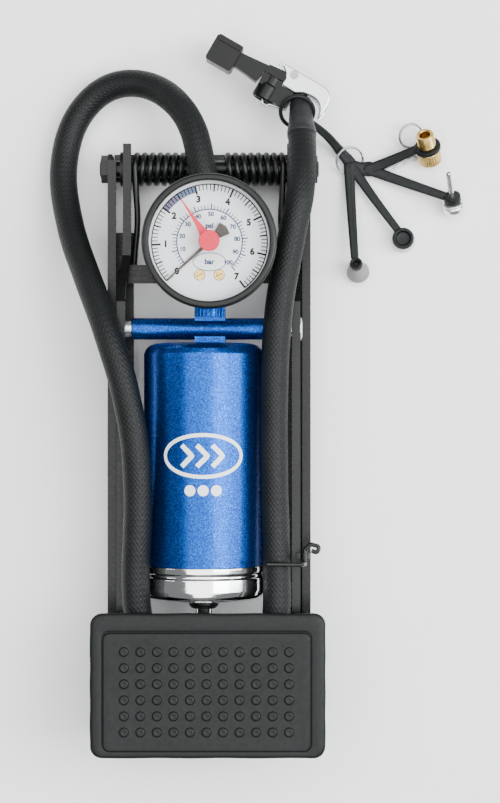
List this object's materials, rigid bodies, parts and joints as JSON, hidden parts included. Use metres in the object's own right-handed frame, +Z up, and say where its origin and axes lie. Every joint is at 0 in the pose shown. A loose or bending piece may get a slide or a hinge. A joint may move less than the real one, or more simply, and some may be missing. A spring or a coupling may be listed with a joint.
{
  "type": "foot pump",
  "caption": "Folded single-barrel foot pump with pressure gauge, hose, lever chuck and adaptors, for bicycle and car tyres.",
  "frame": {"origin": "on the floor, under the middle of the pump's frame (hose and what is on it left out)", "axes": "+Y towards the hinge end, +X to the right of the pedal seen from above with the hinge end up, +Z up"},
  "size_m": [0.1952, 0.3309, 0.0683],
  "materials": {
    "frame_black": "satin black powder coat",
    "zinc_steel": "bright zinc plate",
    "spring_black": "oiled black spring wire",
    "bush_nylon": "plain moulded nylon",
    "foot_rubber": "matt black rubber",
    "pad_rubber": "moulded rubber with round studs",
    "barrel_blue": "metallic flake blue lacquer",
    "cap_chrome": "polished plate",
    "gland_plastic": "moulded black plastic",
    "brass": "machined",
    "gauge_black": "dark grey enamel",
    "gauge_glass": "clear polished lens",
    "dial_white": "printed white dial",
    "needle_black": "matt black",
    "marker_red": "red moulded plastic",
    "hose_rubber": "cloth-marked black rubber hose",
    "sleeve_grey": "smooth dark grey rubber",
    "chuck_plastic": "black nylon",
    "strap_rubber": "flat black rubber",
    "adaptor_pale": "pale plastic",
    "adaptor_grey": "grey plastic"
  },
  "bodies": {
    "base": {"base_rail_left": "frame_black", "base_rail_right": "frame_black", "base_front_plate": "frame_black", "base_rear_strip": "frame_black", "rubber_feet": "foot_rubber", "hinge_shaft": "frame_black", "shaft_nuts": "frame_black", "front_pin": "frame_black", "pin_spacers": "frame_black"},
    "lever": {"torsion_spring_left": "spring_black", "torsion_spring_right": "spring_black", "lever_rail_left": "frame_black", "lever_rail_right": "frame_black", "lever_cross_plate": "frame_black", "hinge_bushes": "bush_nylon", "pedal_pan": "frame_black", "pedal_pad": "pad_rubber", "pedal_rivets": "frame_black", "trunnion_pin": "zinc_steel", "trunnion_collars": "zinc_steel", "cross_plate_rivets": "frame_black", "catch_lug": "frame_black", "hose": "hose_rubber", "hose_sleeve": "sleeve_grey", "chuck_body": "chuck_plastic", "chuck_seal": "foot_rubber", "chuck_bracket": "zinc_steel", "chuck_pin": "zinc_steel", "adaptor_strap": "strap_rubber", "brass_adaptor": "brass", "ball_needle": "zinc_steel", "cup_adaptor": "adaptor_pale", "cone_adaptor": "adaptor_grey", "split_rings": "zinc_steel", "clip_chain": "zinc_steel"},
    "barrel": {"barrel_tube": "barrel_blue", "outlet_block": "barrel_blue", "trunnion_tube": "barrel_blue", "barrel_cap": "cap_chrome", "rod_gland": "gland_plastic", "hose_nipple": "brass", "gauge_stem": "cap_chrome", "gauge_case": "gauge_black", "gauge_bezel": "gauge_black", "gauge_lens": "gauge_glass", "gauge_dial": "dial_white", "gauge_screws": "brass", "gauge_movement": "brass", "bourdon_tube": "brass"},
    "rod": {"piston_rod": "cap_chrome", "rod_eye": "cap_chrome", "piston": "gland_plastic", "piston_cup": "foot_rubber", "piston_nut": "zinc_steel"},
    "needle": {"gauge_spindle": "zinc_steel", "gauge_needle": "needle_black"},
    "marker": {"target_marker": "marker_red"},
    "catch": {"catch_wire": "spring_black"},
    "thumb": {"chuck_lever": "chuck_plastic"}
  },
  "joints": [
    {"name": "lever_open", "type": "hinge", "parent": "base", "child": "lever", "pos_m": [0, 0.129, 0.016], "axis": [-1, 0, 0], "range_deg": [0, 45], "deforming": ["torsion_spring_left", "torsion_spring_right"]},
    {"name": "barrel_swing", "type": "hinge", "parent": "lever", "child": "barrel", "pos_m": [0, 0.0537, 0.032], "axis": [-1, 0, 0], "range_deg": [-61, 0]},
    {"name": "rod_slide", "type": "slide", "parent": "barrel", "child": "rod", "axis": [0, -1, 0], "range_m": [0, 0.04]},
    {"name": "needle_turn", "type": "hinge", "parent": "barrel", "child": "needle", "pos_m": [0.0008, 0.0918, 0.0592], "axis": [0, 0, -1], "range_deg": [0, 274], "stiffness_Nm_per_rad": 0.0002},
    {"name": "marker_turn", "type": "hinge", "parent": "barrel", "child": "marker", "pos_m": [0.0008, 0.0918, 0.0624], "axis": [0, 0, 1], "continuous": true},
    {"name": "catch_fold", "type": "hinge", "parent": "lever", "child": "catch", "pos_m": [0.0439, -0.05, 0.0466], "axis": [0, 1, 0], "range_deg": [0, 90]},
    {"name": "thumb_press", "type": "hinge", "parent": "lever", "child": "thumb", "pos_m": [0.0395, 0.1719, 0.019], "axis": [0, 0, -1], "range_deg": [0, 90]}
  ],
  "couplings": [
    {"joint": "barrel_swing", "follows": "lever_open", "ratio": -1.3313},
    {"joint": "rod_slide", "follows": "lever_open", "m_per_rad": 0.049158}
  ]
}
